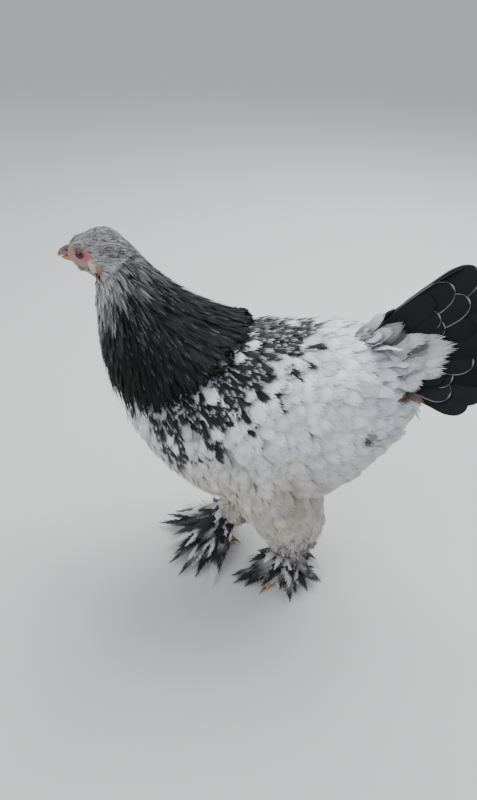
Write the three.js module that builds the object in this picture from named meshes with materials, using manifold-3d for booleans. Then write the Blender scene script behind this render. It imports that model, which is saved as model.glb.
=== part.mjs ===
// A light, mottled Brahma pullet standing mid-step, life-size, in millimetres.
// She faces -X with her left side towards -Y and up is +Z. The floor is at z = 0.
import * as THREE from "three";
import { mergeVertices } from "three/addons/utils/BufferGeometryUtils.js";
import Module from "manifold-3d";

const wasm = await Module();
wasm.setup();

const vec = (x, y, z) => new THREE.Vector3(x, y, z);
const { degToRad: rad, lerp } = THREE.MathUtils;

// Driving dimensions
const gap = 0.35; // between nodes that touch
const torsoFront = -124; // breast point
const torsoRear = 216; // end of the rump fluff
const neckTop = { front: vec(-143, 0, 410), back: vec(-106, 0, 456) };
const eyeHeight = 445;
const eyeForward = -150;
const eyeRadius = 5.2;
const eyeSpread = 12.5; // eye centre from the middle of the head
const headYaw = rad(3);
const tailRoot = vec(160, 0, 348);
const tailPitch = rad(36);
const pad = 0.8; // how much of each toe the floor flattens
const vaneThick = 0.9;
const wingPlateRise = 4;
const tierRise = 2.6; // between tiers of feathers that lie over one another

// Outlines of the plumage, as [x, value] pairs
const backLine = smooth([[-124, 276], [-116, 306], [-92, 328], [-58, 343], [-20, 356], [30, 361],
  [80, 362], [120, 364], [160, 364], [186, 352], [206, 326], [216, 300]]);
const bellyLine = smooth([[-124, 262], [-116, 242], [-92, 210], [-58, 174], [-20, 145], [30, 130],
  [80, 132], [120, 150], [160, 188], [190, 228], [210, 268], [216, 292]]);
const halfWidth = smooth([[-124, 4], [-116, 40], [-92, 66], [-58, 85], [-20, 97], [30, 101],
  [80, 101], [120, 95], [160, 80], [190, 60], [210, 30], [216, 4]]);

// Outlines of the hackle from the head at 0 to the cape's edge at 1
const hackleFront = { x: smooth([[0, -143], [0.25, -146], [0.5, -146], [0.75, -141], [1, -131]]),
  z: smooth([[0, 410], [0.25, 374], [0.5, 340], [0.75, 302], [1, 265]]) };
const hackleBack = { x: smooth([[0, -106], [0.25, -82], [0.5, -52], [0.75, -18], [1, 22]]),
  z: smooth([[0, 456], [0.25, 428], [0.5, 402], [0.75, 382], [1, 368]]) };
const hackleHalf = smooth([[0, 19], [0.25, 32], [0.5, 50], [0.75, 70], [1, 88]]);
const hackleCore = smooth([[0, 0.93], [0.25, 0.88], [0.5, 0.8], [0.75, 0.7], [1, 0.6]]);

// Tiers of hackle feathers: where they start and end, how many, and how far they lie below the outline
const hackleTiers = [
  { from: 0.44, to: 1, count: 20, wide: 33, under: 2 * tierRise },
  { from: 0.22, to: 0.76, count: 17, wide: 26, under: tierRise },
  { from: 0.03, to: 0.46, count: 12, wide: 18, under: 0 },
];

// The head's outlines along its own length, from the beak at -21 to the nape at 47, about the eye
const crownLine = smooth([[-21, -2], [-17, 5], [-10, 12.5], [0, 17], [9, 22],
  [20, 25], [32, 22], [42, 12], [47, 0]]);
const jawLine = smooth([[-21, -7], [-17, -14.5], [-8, -20], [0, -24], [10, -31],
  [20, -34], [32, -26], [42, -9], [47, 0]]);
const headHalf = smooth([[-21, 3], [-17, 8], [-10, 11.5], [0, 14.5], [10, 17],
  [22, 19], [34, 17], [42, 11], [47, 2]]);

// Each leg: the fluff's centre and radius by height, the foot's place and how far it turns out
const legs = {
  left: { side: -1, turn: rad(22), foot: vec(86, -42, 0), ankle: vec(92, -43, 66),
    x: smooth([[62, 91], [95, 90], [135, 78], [185, 64], [215, 58], [248, 52]]),
    y: smooth([[62, -40], [95, -44], [135, -50], [185, -54], [215, -54], [248, -50]]),
    r: smooth([[62, 27], [95, 35], [135, 46], [185, 53], [215, 49], [248, 14]]), low: 62,
    tips: [[145, -44, 12], [138, -66, 4], [114, -84, 3], [100, -88, 8], [87, -82, 3], [70, -76, 6],
      [52, -60, 4],
      [116, -24, 8], [104, -72, 14], [80, -68, 12]] },
  right: { side: 1, turn: rad(10), foot: vec(-14, 8, 0), ankle: vec(4, 12, 50),
    x: smooth([[42, 6], [60, 14], [95, 24], [135, 32], [185, 42], [215, 44], [248, 46]]),
    y: smooth([[42, 10], [60, 17], [95, 27], [135, 38], [185, 50], [215, 53], [248, 50]]),
    r: smooth([[42, 20], [60, 27], [95, 35], [135, 45], [185, 53], [215, 49], [248, 14]]), low: 42,
    tips: [[-8, -78, 3], [-26, -72, 5], [-46, -62, 10], [-64, -70, 4], [-80, -58, 8], [-90, -30, 6],
      [-88, 44, 6], [-66, 66, 4], [-38, 78, 5], [-8, 74, 6], [14, 62, 6], [4, -58, 10]] },
};

// The fan of the tail on one side, from the top feather to the outermost
const fanCount = 7;
const fan = steps(fanCount).map((t) => ({ rise: rad(lerp(51, -4, t)), reach: 132 + 34 * t - 72 * t * t,
  out: 6 + 68 * t ** 0.85, drop: 12 * t, wide: lerp(33, 29, t) }));

// The folded wing in its own plane: u runs back and up along the flank, v across it
const wingPlace = { x: 6, z: 246, rise: rad(22) };
const wingOutline = [[-8, 14], [0, 34], [22, 50], [70, 56], [130, 50], [176, 34],
  [172, 22], [120, 6], [60, -4], [14, 0]];
const flights = steps(6).map((t) => ({ v: lerp(6, 42, t), end: 142 + 84 * t - 74 * t * t }));

// A smooth line through a few [x, value] pairs that never swings past them
function smooth(pairs) {
  const n = pairs.length;
  const slope = pairs.slice(1).map(([x, v], i) => (v - pairs[i][1]) / (x - pairs[i][0]));
  const tangent = pairs.map((_, i) => {
    if (i === 0 || i === n - 1) return slope[Math.min(i, n - 2)];
    const [a, b] = [slope[i - 1], slope[i]];
    return a * b <= 0 ? 0 : (2 * a * b) / (a + b);
  });
  return (x) => {
    let i = 0;
    while (i < n - 2 && x > pairs[i + 1][0]) i++;
    const [x0, v0] = pairs[i];
    const [x1, v1] = pairs[i + 1];
    const span = x1 - x0;
    const t = (x - x0) / span;
    if (t < 0) return v0 + tangent[i] * (x - x0);
    if (t > 1) return v1 + tangent[i + 1] * (x - x1);
    return (2 * t ** 3 - 3 * t ** 2 + 1) * v0 + (t ** 3 - 2 * t ** 2 + t) * span * tangent[i]
      + (3 * t ** 2 - 2 * t ** 3) * v1 + (t ** 3 - t ** 2) * span * tangent[i + 1];
  };
}

// Evenly spaced numbers, both ends included
function steps(count) {
  return Array.from({ length: count }, (_, i) => i / (count - 1));
}

// A closed skin over rings of points, closed at each end on the middle of its ring
function skinOver(rings) {
  const around = rings[0].length;
  const middle = (ring) => ring.reduce((sum, p) => sum.add(p), vec(0, 0, 0)).divideScalar(around);
  const points = [middle(rings[0]), ...rings.flat(), middle(rings.at(-1))];
  const at = (ring, k) => 1 + ring * around + (k % around);
  const faces = [];
  for (let k = 0; k < around; k++) {
    faces.push(0, at(0, k), at(0, k + 1));
    for (let ring = 0; ring + 1 < rings.length; ring++) {
      faces.push(at(ring, k), at(ring + 1, k), at(ring + 1, k + 1));
      faces.push(at(ring, k), at(ring + 1, k + 1), at(ring, k + 1));
    }
    faces.push(points.length - 1, at(rings.length - 1, k + 1), at(rings.length - 1, k));
  }
  return new THREE.BufferGeometry().setFromPoints(points).setIndex(faces);
}

// A geometry as a closed solid with its faces out, ready to join and cut
function solid(geometry) {
  const bare = geometry.clone();
  bare.deleteAttribute("normal");
  bare.deleteAttribute("uv");
  const merged = mergeVertices(bare, 1e-4);
  const vertProperties = merged.attributes.position.array;
  const triVerts = Uint32Array.from(merged.index.array);
  const make = () => new wasm.Manifold(new wasm.Mesh({ numProp: 3, vertProperties, triVerts }));
  const made = make();
  if (made.volume() > 0) return made;
  for (let i = 0; i < triVerts.length; i += 3) {
    [triVerts[i + 1], triVerts[i + 2]] = [triVerts[i + 2], triVerts[i + 1]];
  }
  return make();
}

const skin = (rings) => solid(skinOver(rings));
const joined = (pieces) => pieces.reduce((sum, piece) => sum.add(piece));

// The largest closed surface of a solid
const largest = (made) => made.decompose().sort((a, b) => b.volume() - a.volume())[0];

// A ring of an oval in the plane of two half axes
function oval(centre, one, other, around, square = 1) {
  const bend = (v) => Math.sign(v) * Math.abs(v) ** square;
  return steps(around + 1).slice(0, -1).map((t) => centre.clone()
    .addScaledVector(one, bend(Math.cos(2 * Math.PI * t)))
    .addScaledVector(other, bend(Math.sin(2 * Math.PI * t))));
}

// Numbers that vary a little from feather to feather, the same in every build
let seed = 7;
function random() {
  seed = (seed * 48271) % 2147483647;
  return seed / 2147483647;
}
const vary = (size) => size * (2 * random() - 1);

// A thin feather through rows of { at, out, wide }: its middle, the way it faces and its width
function feather(rows, { grow = 0, ridge = 0, thick = vaneThick } = {}) {
  const last = rows.length - 1;
  const across = ridge ? [-1, 0, 1] : [-1, 1];
  const n = across.length;
  const points = rows.flatMap(({ at, out, wide }, i) => {
    const ahead = rows[Math.min(i + 1, last)].at.clone().sub(rows[Math.max(i - 1, 0)].at).normalize();
    const side = new THREE.Vector3().crossVectors(out, ahead).normalize();
    const up = new THREE.Vector3().crossVectors(ahead, side);
    const end = i === 0 ? -grow : i === last ? grow : 0;
    const middle = at.clone().addScaledVector(ahead, end);
    return [1, -1].flatMap((face) => across.map((k) => middle.clone()
      .addScaledVector(side, k * (wide / 2 + grow))
      .addScaledVector(up, face * (thick / 2 + grow) - Math.abs(k) * ridge * wide)));
  });
  const top = (row, k) => row * 2 * n + k;
  const low = (row, k) => row * 2 * n + n + k;
  const faces = [];
  const quad = (a, b, c, d) => faces.push(a, b, c, a, c, d);
  for (let row = 0; row < last; row++) {
    for (let k = 0; k + 1 < n; k++) {
      quad(top(row, k), top(row, k + 1), top(row + 1, k + 1), top(row + 1, k));
      faces.push(low(row, k), low(row + 1, k + 1), low(row, k + 1));
      faces.push(low(row, k), low(row + 1, k), low(row + 1, k + 1));
    }
    quad(top(row, 0), top(row + 1, 0), low(row + 1, 0), low(row, 0));
    quad(top(row + 1, n - 1), top(row, n - 1), low(row, n - 1), low(row + 1, n - 1));
  }
  for (let k = 0; k + 1 < n; k++) {
    quad(low(0, k), low(0, k + 1), top(0, k + 1), top(0, k));
    quad(top(last, k), top(last, k + 1), low(last, k + 1), low(last, k));
  }
  return solid(new THREE.BufferGeometry().setFromPoints(points).setIndex(faces));
}

// Half widths along a feather, from the root to the blunt tip
const vaneSpan = [[0, 0.5], [0.38, 0.9], [0.76, 1], [1, 0.32]];

// A tapered round rod through a few points
function rod(points, radii, around = 8) {
  const path = new THREE.CatmullRomCurve3(points);
  const frames = path.computeFrenetFrames(points.length + 1);
  return skin(steps(points.length + 2).map((t, i) => {
    const r = lerp(radii[0], radii[1], t);
    return oval(path.getPointAt(t), frames.normals[i].clone().multiplyScalar(r),
      frames.binormals[i].clone().multiplyScalar(r), around);
  }));
}

// Nodes of the finished bird
const hen = new THREE.Group();
const finishes = {
  black: [0x16161a, 0.6], white: [0xdedcd8, 0.75], grey: [0x9a978f, 0.75], face: [0xc9837a, 0.6],
  horn: [0x5c5248, 0.45], eye: [0x2a160c, 0.1], toe: [0xc99a44, 0.6],
};
function addNode(name, made, finish) {
  const mesh = largest(made).asOriginal().simplify(0.08).getMesh();
  const geometry = new THREE.BufferGeometry();
  geometry.setAttribute("position", new THREE.BufferAttribute(mesh.vertProperties, 3));
  geometry.setIndex(new THREE.BufferAttribute(mesh.triVerts, 1));
  geometry.computeVertexNormals();
  const [color, roughness] = finishes[finish];
  const node = new THREE.Mesh(geometry, new THREE.MeshStandardMaterial({ color, roughness }));
  node.name = name;
  hen.add(node);
}

// Torso
function torsoRing(x, grow, around = 24) {
  const top = backLine(x) + grow;
  const low = bellyLine(x) - grow;
  return oval(vec(x, 0, (top + low) / 2), vec(0, 0, (top - low) / 2),
    vec(0, -(halfWidth(x) + grow), 0), around, 0.94);
}
function torsoForm(grow = 0) {
  const reach = (torsoRear - torsoFront) / 2;
  const centre = (torsoRear + torsoFront) / 2;
  return skin(steps(18).map((t) => {
    const along = Math.cos(Math.PI * (1 - t));
    const ring = torsoRing(centre + reach * along, grow);
    return ring.map((p) => p.setX(p.x + grow * along));
  }));
}

// A point on the torso's skin at x, turned from the back at 0 by the left flank to the belly at 180
function onTorso(x, turn, lift) {
  const [top, low] = [backLine(x) + lift, bellyLine(x) - lift];
  const height = (top + low) / 2 + ((top - low) / 2) * Math.cos(turn);
  return vec(x, -(halfWidth(x) + lift) * Math.sin(turn), height);
}
function torsoFeather(x, turn, length, wide, grow) {
  const rows = vaneSpan.map(([t, span]) => {
    const place = Math.min(x + length * t, torsoRear - 6);
    const at = onTorso(place, turn, lerp(-2.5, tierRise, t));
    return { at, out: onTorso(place, turn, 12).sub(at), wide: wide * span };
  });
  return feather(rows, { grow });
}

// Neck with its hackle
function hackleRing(s, fill, grow, around = 16) {
  const front = vec(hackleFront.x(s), 0, hackleFront.z(s));
  const back = vec(hackleBack.x(s), 0, hackleBack.z(s));
  const half = back.clone().sub(front).divideScalar(2);
  const reach = half.length();
  half.setLength(reach * fill + grow);
  return oval(front.add(back).divideScalar(2), half, vec(0, -(hackleHalf(s) * fill + grow), 0), around);
}
function neckCore() {
  return skin(steps(8).map((s) => hackleRing(s, hackleCore(s), 0)));
}
function onHackle(s, turn, lift) {
  const front = vec(hackleFront.x(s), 0, hackleFront.z(s));
  const back = vec(hackleBack.x(s), 0, hackleBack.z(s));
  const half = back.clone().sub(front).divideScalar(2);
  const reach = half.length();
  return front.add(back).divideScalar(2).addScaledVector(half, (Math.cos(turn) * (reach + lift)) / reach)
    .add(vec(0, -Math.sin(turn) * (hackleHalf(s) + lift), 0));
}
function hackleFeather(tier, turn, layer) {
  const [from, to] = [tier.from + vary(0.02), tier.to + Math.min(0, vary(0.04))];
  const sunk = (1 - hackleCore(from)) * hackleHalf(from) + 1.5;
  const rows = vaneSpan.map(([t, span]) => {
    const s = lerp(from, to, t);
    const lift = -Math.max(tier.under * (1 - t) ** 0.5 + layer, sunk * (1 - t * 2.2));
    const at = onHackle(s, turn, lift);
    return { at, out: onHackle(s, turn, lift + 8).sub(at), wide: tier.wide * span * (0.72 + 0.28 * t) };
  });
  return feather(rows);
}
function hackle() {
  return hackleTiers.flatMap((tier) => steps(tier.count + 1).slice(0, -1)
    .map((t, i) => hackleFeather(tier, 2 * Math.PI * t + vary(0.03), i % 2 ? 1.6 : 0)));
}

// Everything on the body's side of the cut between head and neck
function beyondHead(shift) {
  const middle = neckTop.front.clone().add(neckTop.back).divideScalar(2);
  const along = neckTop.back.clone().sub(neckTop.front).normalize();
  const size = 400;
  const block = new THREE.BoxGeometry(size, size, size);
  block.translate(0, 0, -size / 2 + shift);
  block.rotateY(Math.atan2(-along.z, along.x));
  return solid(block.translate(middle.x, middle.y, middle.z));
}

// Head in its own frame: the middle of the head at eye level, looking along -X
const headPlace = new THREE.Matrix4().makeRotationZ(-headYaw)
  .setPosition(eyeForward, 0, eyeHeight);
const placed = (geometry) => solid(geometry.applyMatrix4(headPlace));
function headSkull() {
  return placed(skinOver(steps(13).map((t) => {
    const x = lerp(-21, 47, (1 - Math.cos(Math.PI * t)) / 2);
    const [top, low] = [crownLine(x), jawLine(x)];
    return oval(vec(x, 0, (top + low) / 2), vec(0, 0, (top - low) / 2), vec(0, headHalf(x), 0), 18);
  })));
}
function headBall(x, y, z, size, around) {
  const shape = new THREE.SphereGeometry(1, around, Math.round(around * 0.6));
  shape.scale(size.x, size.y, size.z).translate(x, y, z);
  return placed(shape);
}
function mandible(stations, grow = 0) {
  return placed(skinOver(stations.map(([x, top, low, half]) => oval(vec(x, 0, (top + low) / 2),
    vec(0, 0, (top - low) / 2 + grow), vec(0, half + grow, 0), 12, 0.85))));
}
// Stations of the beak: how far forward, upper edge, lower edge, half width
const beakUpper = [[-13, 4.2, -7, 6.4], [-19, 3.9, -7.4, 5.6], [-24, 2.2, -8, 4.4],
  [-29, -1, -9.2, 3], [-32, -4.2, -10.4, 1.8], [-33.4, -7.4, -11.2, 0.7]];
const beakLower = [[-13, -7.7, -14.2, 5.6], [-20, -8.1, -14, 4.6], [-25, -8.7, -13.2, 3.2],
  [-29.4, -9.9, -11.6, 1.1]];
const mouthSlit = { from: -24, to: -9.5, level: -7.4, wide: 30, tall: 0.7 };
// Soft parts of each side of the head: middle, half sizes and how finely they are divided
const faceLumps = {
  brow: [[-3, 10.5, 8], [11, 5, 4.6], 9],
  ringRoundEye: [[0, 12, 0], [7.8, 3.8, 7], 12],
  earLobe: [[13, 15.4, -14], [4.4, 3, 7.2], 10],
  lowerLobe: [[18, 15.6, -25], [3.4, 2.8, 4.4], 8],
  wattle: [[-5, 4.5, -19], [6, 3, 4.2], 8],
};
// Rows of the low comb: how far aside, how high, how many knobs
const combRows = [[0, 0, 4], [-2.4, -1.6, 2], [2.4, -1.6, 2]];
const comb = { from: -15.5, to: -5, rise: -0.4, long: 2.2, half: 1.4, tall: 2.2 };
const bothSides = [-1, 1];

function headForm() {
  const pieces = [headSkull()];
  for (const side of bothSides) {
    for (const [[x, y, z], half, around] of Object.values(faceLumps)) {
      pieces.push(headBall(x, side * y, z, vec(...half), around));
    }
  }
  for (const [aside, lower, count] of combRows) {
    for (const t of steps(count)) {
      const x = lerp(comb.from, comb.to, t);
      const size = vec(comb.long, comb.half, comb.tall);
      pieces.push(headBall(x, aside, crownLine(x) + comb.rise + lower, size, 6));
    }
  }
  const slit = new THREE.BoxGeometry(mouthSlit.to - mouthSlit.from, mouthSlit.wide, mouthSlit.tall);
  slit.translate((mouthSlit.to + mouthSlit.from) / 2, 0, mouthSlit.level);
  const eyes = bothSides.map((side) => eyeBall(side, gap));
  return joined(pieces).subtract(joined([beyondHead(gap),
    mandible(beakUpper, gap), mandible(beakLower, gap),
    placed(slit), ...eyes]));
}
function eyeBall(side, grow = 0) {
  const r = eyeRadius + grow;
  return headBall(0, side * eyeSpread, 0, vec(r, r, r), 14);
}

// Tail: a blunt root in the rump that carries the fan
const tailAxis = vec(Math.cos(tailPitch), 0, Math.sin(tailPitch));
const tailUp = vec(-tailAxis.z, 0, tailAxis.x);
function tailRootForm(grow = 0) {
  const stations = [[-20, 16, 15], [0, 25, 22], [22, 27, 24], [34, 20, 18]];
  return skin(stations.map(([along, half, tall], i) => oval(
    tailRoot.clone().addScaledVector(tailAxis, along + (i ? grow : -grow)).addScaledVector(tailUp, -8),
    tailUp.clone().multiplyScalar(tall + grow), vec(0, half + grow, 0), 16)));
}
// A tail feather of one side at place i in the fan, shortened and raised for the coverts
function tailFeather(side, i, share, rise, grow) {
  const tipOf = ({ rise: angle, reach, out, drop }) => tailRoot.clone()
    .add(vec(reach * Math.cos(angle), side * out, reach * Math.sin(angle) - drop).multiplyScalar(share));
  const tip = tipOf(fan[i]);
  const spread = tipOf(fan[Math.min(i + 1, fanCount - 1)]).sub(tipOf(fan[Math.max(i - 1, 0)]));
  const t = i / (fanCount - 1);
  const root = tailRoot.clone().addScaledVector(tailAxis, 4).addScaledVector(tailUp, lerp(4, -20, t))
    .add(vec(0, side * lerp(3, 15, t), 0));
  const face = new THREE.Vector3().crossVectors(tip.clone().sub(root), spread).normalize();
  if (face.y * side < 0) face.negate();
  const ridge = share === 1 ? 0.05 : 0;
  const span = share === 1 ? [[0, 0.34], [0.32, 0.72], [0.7, 1], [0.92, 0.8], [1, 0.3]] : vaneSpan;
  const rows = span.map(([along, wide]) => {
    const at = root.clone().lerp(tip, along);
    at.addScaledVector(face, rise * Math.min(1, along * 2.5) - i * 1.6 + 5 * Math.sin(Math.PI * along * share));
    return { at, out: face, wide: fan[i].wide * wide * (share === 1 ? 1 : 0.86) };
  });
  return feather(rows, { grow, ridge });
}
const covertTiers = [{ share: 1, rise: 0, every: 1 }, { share: 0.66, rise: 4, every: 2 }];
function tailFan(grow = 0) {
  return joined(bothSides.flatMap((side) => covertTiers.flatMap(({ share, rise, every }) => fan
    .flatMap((_, i) => (i % every ? [] : [tailFeather(side, i, share, rise, grow)])))));
}

// Wings folded on the flanks
function onFlank(u, v, lift) {
  const x = wingPlace.x + u * Math.cos(wingPlace.rise) - v * Math.sin(wingPlace.rise);
  const z = wingPlace.z + u * Math.sin(wingPlace.rise) + v * Math.cos(wingPlace.rise);
  const [half, tall] = [halfWidth(x), (backLine(x) - bellyLine(x)) / 2];
  const turn = Math.acos(THREE.MathUtils.clamp((z - bellyLine(x)) / tall - 1, -0.97, 0.97));
  const out = vec(0, -Math.sin(turn) / half, Math.cos(turn) / tall).normalize();
  return { at: vec(x, -half * Math.sin(turn), z).addScaledVector(out, lift), out };
}
function wingPlate() {
  const edge = wingOutline.map(([u, v]) => onFlank(u, v, 0).at).map(({ x, z }) => vec(x, z, 0));
  const curve = new THREE.CatmullRomCurve3(edge, true);
  const shape = new THREE.Shape(curve.getPoints(30).slice(0, -1).map((p) => new THREE.Vector2(p.x, p.y)));
  const prism = new THREE.ExtrudeGeometry(shape, { depth: 130, bevelEnabled: false });
  return solid(prism.rotateX(rad(90))).intersect(torsoForm(wingPlateRise));
}
function wingFeather(from, to, v, tilt, wide, rise) {
  const rows = vaneSpan.map(([t, span]) => {
    const { at, out } = onFlank(lerp(from, to, t), v + tilt * t, lerp(1.2, rise, Math.min(1, t * 1.6)));
    return { at, out, wide: wide * span };
  });
  return feather(rows);
}
function wing() {
  const pieces = [wingPlate()];
  flights.forEach(({ v, end }, i) => pieces.push(wingFeather(44, end, v, 3, 14, 4.6 + (i % 2) * 1.4)));
  for (const t of steps(5)) {
    pieces.push(wingFeather(4 + vary(2), 78 - 12 * t + vary(4), lerp(5, 44, t), 2, 15, 8.2));
  }
  return joined(pieces).subtract(torsoClear);
}

// Thighs with their fluff hanging in tiers
function onThigh(leg, z, turn, lift) {
  const r = leg.r(z) + lift;
  return vec(leg.x(z) + r * 1.06 * Math.cos(turn), leg.y(z) + r * Math.sin(turn), z);
}
function thighForm(leg, grow = 0) {
  const top = 246;
  const core = skin(steps(9).map((t) => {
    const z = lerp(leg.low - grow, top + grow, t);
    return steps(17).slice(0, -1).map((k) => onThigh(leg, z, 2 * Math.PI * k, grow));
  }));
  const locks = thighTiers.flatMap(({ from, length, count, wide }, tier) => steps(count + 1).slice(0, -1).map((k) => {
    const turn = 2 * Math.PI * (k + tier * 0.5 / count);
    const start = from * (180 - leg.low) + leg.low;
    const rows = vaneSpan.map(([t, span]) => {
      const z = start - length * t;
      const at = onThigh(leg, z, turn, lerp(-2.5, 2.2, t));
      return { at, out: onThigh(leg, z, turn, 10).sub(at), wide: wide * span };
    });
    return feather(rows, { grow });
  }));
  return joined([core, ...locks]);
}
const thighTiers = [
  { from: 0.28, length: 40, count: 7, wide: 24 },
  { from: 0.7, length: 44, count: 8, wide: 30 },
];

// Feet: shank, toes and the long feathers that hang from them
const toes = [
  { name: "inner", angle: 36, length: 42, claw: 13, r: 5 },
  { name: "middle", angle: 0, length: 56, claw: 14, r: 5.4 },
  { name: "outer", angle: -36, length: 45, claw: 12, r: 4.8 },
  { name: "hind", angle: 164, length: 25, claw: 12, r: 4.4 },
];
const floorBlock = solid(new THREE.BoxGeometry(900, 900, 100).translate(0, 0, -50));
function toeWay(leg, toe) {
  const turn = (rad(toe.angle) - leg.turn) * leg.side;
  return vec(-Math.cos(turn), -Math.sin(turn), 0);
}
function toeForm(leg, toe, grow = 0) {
  const at = (along, z) => leg.foot.clone().addScaledVector(toeWay(leg, toe), along).setZ(z - pad);
  return rod([at(0, toe.r + 1.6), at(toe.length * 0.5, toe.r + 0.8), at(toe.length + grow, toe.r * 0.85)],
    [toe.r + 1.6 + grow, toe.r * 0.85 + grow]);
}
function clawForm(leg, toe, grow = 0) {
  const at = (along, z) => leg.foot.clone().addScaledVector(toeWay(leg, toe), along).setZ(z);
  return rod([at(toe.length - 3, toe.r * 0.78), at(toe.length + toe.claw * 0.5, 3.9),
    at(toe.length + toe.claw + grow, 1.2)], [3 + grow, 0.5 + grow], 7);
}
// A long foot feather from the shank or a toe out and down to its tip
function footFeather(root, tip, wide) {
  const away = tip.clone().sub(root);
  const level = vec(away.x, away.y, 0).normalize();
  const rows = vaneSpan.map(([t, span]) => {
    const at = root.clone().lerp(tip, t).add(vec(0, 0, 9 * Math.sin(Math.PI * t)));
    return { at, out: level.clone().multiplyScalar(0.5).add(vec(0, 0, 1)), wide: wide * span };
  });
  return feather(rows);
}
function footForm(leg) {
  const shank = rod([leg.foot.clone().setZ(9), leg.foot.clone().lerp(leg.ankle, 0.5), leg.ankle.clone(),
    leg.ankle.clone().add(vec(2, 0, 30))], [9.5, 9]);
  const plumes = leg.tips.flatMap(([x, y, z], i) => {
    const tip = vec(x, y, z);
    return (i % 2 ? [0] : [0, 1]).map((layer) => {
      const height = 12 + 26 * layer + (i % 3) * 4;
      const root = leg.foot.clone().lerp(leg.ankle, height / leg.ankle.z).setZ(height);
      const end = root.clone().lerp(tip, 1 - 0.28 * layer).setZ(z + 8 * layer);
      return footFeather(root, end, 19 - 3 * layer);
    });
  });
  const claws = joined(toes.map((toe) => clawForm(leg, toe, gap)));
  return joined([shank, ...toes.map((toe) => toeForm(leg, toe)), joined(plumes).subtract(claws)]);
}

// The whole bird, node by node
const torsoClear = torsoForm(gap);
const saddle = (grow) => joined(saddleTiers.flatMap(({ x, count, reach, length, wide }) => steps(count).map((t) =>
  torsoFeather(x, rad(lerp(-reach, reach, t)), length, wide, grow))));
const saddleTiers = [
  { x: 116, count: 6, reach: 60, length: 46, wide: 30 },
  { x: 84, count: 5, reach: 50, length: 44, wide: 30 },
];
addNode("head", headForm(), "face");
const nostrils = bothSides.map((side) => headBall(-20.5, side * 5.6, -0.8, vec(2.2, 1.6, 1), 10));
addNode("beak_upper", mandible(beakUpper).subtract(joined(nostrils)), "horn");
addNode("beak_lower", mandible(beakLower), "horn");
addNode("eye_left", eyeBall(-1), "eye");
addNode("eye_right", eyeBall(1), "eye");
addNode("neck", joined([neckCore(), ...hackle()]).subtract(torsoClear).intersect(beyondHead(0)), "black");
addNode("tail", tailRootForm().add(tailFan().subtract(torsoClear)), "black");
addNode("torso", torsoForm().add(saddle(0)).subtract(tailRootForm(gap)), "white");
const wingLeft = wing().subtract(saddle(gap));
addNode("wing_left", wingLeft, "grey");
addNode("wing_right", wingLeft.mirror([0, 1, 0]), "grey");

const thighLeft = thighForm(legs.left).subtract(torsoClear);
const thighRight = thighForm(legs.right).subtract(torsoClear).subtract(thighForm(legs.left, gap));
addNode("thigh_left", thighLeft, "white");
addNode("thigh_right", thighRight, "white");
for (const [name, leg] of Object.entries(legs)) {
  for (const toe of toes) {
    const claw = clawForm(leg, toe).subtract(toeForm(leg, toe, gap)).subtract(floorBlock);
    addNode(`claw_${name}_${toe.name}`, claw, "horn");
  }
  addNode(`foot_${name}`, footForm(leg).subtract(floorBlock).subtract(thighForm(leg, gap)), "toe");
}

// The bird stands with the middle of its floor plan at the origin
hen.updateMatrixWorld(true);
const extent = new THREE.Box3().setFromObject(hen);
hen.position.set(-(extent.min.x + extent.max.x) / 2, -(extent.min.y + extent.max.y) / 2, 0);

export default hen;
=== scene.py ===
import math
from itertools import product
import bpy
import numpy as np
from mathutils import Matrix, Vector
from mathutils.bvhtree import BVHTree


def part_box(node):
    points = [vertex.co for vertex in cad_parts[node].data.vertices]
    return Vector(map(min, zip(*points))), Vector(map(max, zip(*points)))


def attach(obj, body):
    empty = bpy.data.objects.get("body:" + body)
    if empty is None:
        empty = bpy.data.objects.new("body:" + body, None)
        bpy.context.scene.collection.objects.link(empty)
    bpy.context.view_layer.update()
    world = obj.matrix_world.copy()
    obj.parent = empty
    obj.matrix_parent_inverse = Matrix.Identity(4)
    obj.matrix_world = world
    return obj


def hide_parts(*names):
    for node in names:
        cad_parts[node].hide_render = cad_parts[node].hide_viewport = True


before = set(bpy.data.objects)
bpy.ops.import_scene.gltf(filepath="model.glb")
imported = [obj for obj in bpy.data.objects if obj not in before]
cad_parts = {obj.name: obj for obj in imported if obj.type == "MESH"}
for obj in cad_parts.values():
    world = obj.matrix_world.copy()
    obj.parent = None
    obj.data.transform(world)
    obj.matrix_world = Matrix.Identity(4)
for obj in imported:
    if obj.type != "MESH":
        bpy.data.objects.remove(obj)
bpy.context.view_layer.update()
chance = np.random.default_rng(11)
mm = 0.001

# The bird's own measures in millimetres: it faces -X, its left side is towards -Y
eye_home = np.array([-150.65, -12.48, 445.0])
eye_low, eye_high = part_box("eye_left")
shift = (np.array(eye_low) + np.array(eye_high)) / 2 - eye_home * mm


def placed(point):
    """A point of the bird in millimetres as a place in the frame, in metres."""
    return np.asarray(point, float) * mm + shift


def line(pairs):
    """A smooth line through [x, value] pairs that never swings past them."""
    x, v = np.array(pairs, float).T
    slope = np.diff(v) / np.diff(x)
    both = slope[:-1] * slope[1:]
    inner = np.where(both > 0, 2 * both / (slope[:-1] + slope[1:] + 1e-12), 0)
    tangent = np.concatenate([slope[:1], inner, slope[-1:]])

    def at(q):
        q = np.asarray(q, float)
        i = np.clip(np.searchsorted(x, q, side="right") - 1, 0, len(x) - 2)
        span = x[i + 1] - x[i]
        t = np.clip((q - x[i]) / span, 0, 1)
        inside = ((2 * t**3 - 3 * t**2 + 1) * v[i] + (t**3 - 2 * t**2 + t) * span * tangent[i]
                  + (3 * t**2 - 2 * t**3) * v[i + 1] + (t**3 - t**2) * span * tangent[i + 1])
        before = np.where(q < x[0], tangent[0] * (q - x[0]), 0)
        after = np.where(q > x[-1], tangent[-1] * (q - x[-1]), 0)
        return inside + before + after
    return at


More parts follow.
